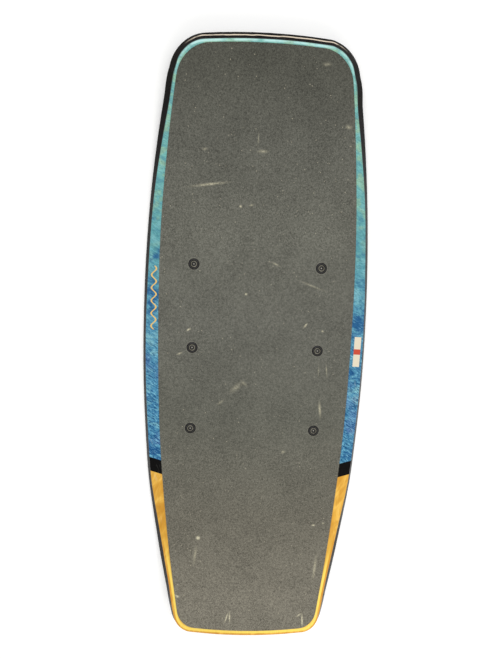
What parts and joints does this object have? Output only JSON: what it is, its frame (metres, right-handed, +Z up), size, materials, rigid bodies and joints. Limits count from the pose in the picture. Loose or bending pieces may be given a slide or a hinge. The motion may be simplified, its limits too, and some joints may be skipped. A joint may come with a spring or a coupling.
{
  "type": "wakeskate",
  "caption": "Laminated wood-core wakeskate with a grip deck, flared black rails, recessed deck fasteners and small centre fins.",
  "frame": {"origin": "on the surface the board rests on, under the middle of its overall length and width", "axes": "+Y along the board to the nose, +X across it to the right when facing the nose, +Z up out of the deck"},
  "size_m": [0.4144, 1.088, 0.0538],
  "materials": {
    "grip": "matte",
    "veneer": "satin",
    "black_laminate": "satin",
    "core_wood": "matte",
    "stringer_wood": "matte",
    "base_plastic": "satin",
    "rail_plastic": "gloss",
    "washer_plastic": "satin",
    "black_steel": "satin",
    "bare_steel": "satin",
    "insert_brass": "satin",
    "fin_plastic": "satin"
  },
  "bodies": {
    "root": {"grip_tape": "grip", "top_veneer": "veneer", "top_laminate": "black_laminate", "core_left_panel": "core_wood", "core_centre_panel": "core_wood", "core_right_panel": "core_wood", "left_stringer": "stringer_wood", "right_stringer": "stringer_wood", "bottom_laminate": "black_laminate", "base_sheet": "base_plastic", "left_rail": "rail_plastic", "right_rail": "rail_plastic", "nose_rail": "rail_plastic", "tail_rail": "rail_plastic", "deck_cup_washers": "washer_plastic", "deck_screws": "black_steel", "deck_inserts": "insert_brass", "nose_fin": "fin_plastic", "tail_fin": "fin_plastic", "fin_screws": "bare_steel", "fin_inserts": "insert_brass"}
  },
  "joints": []
}
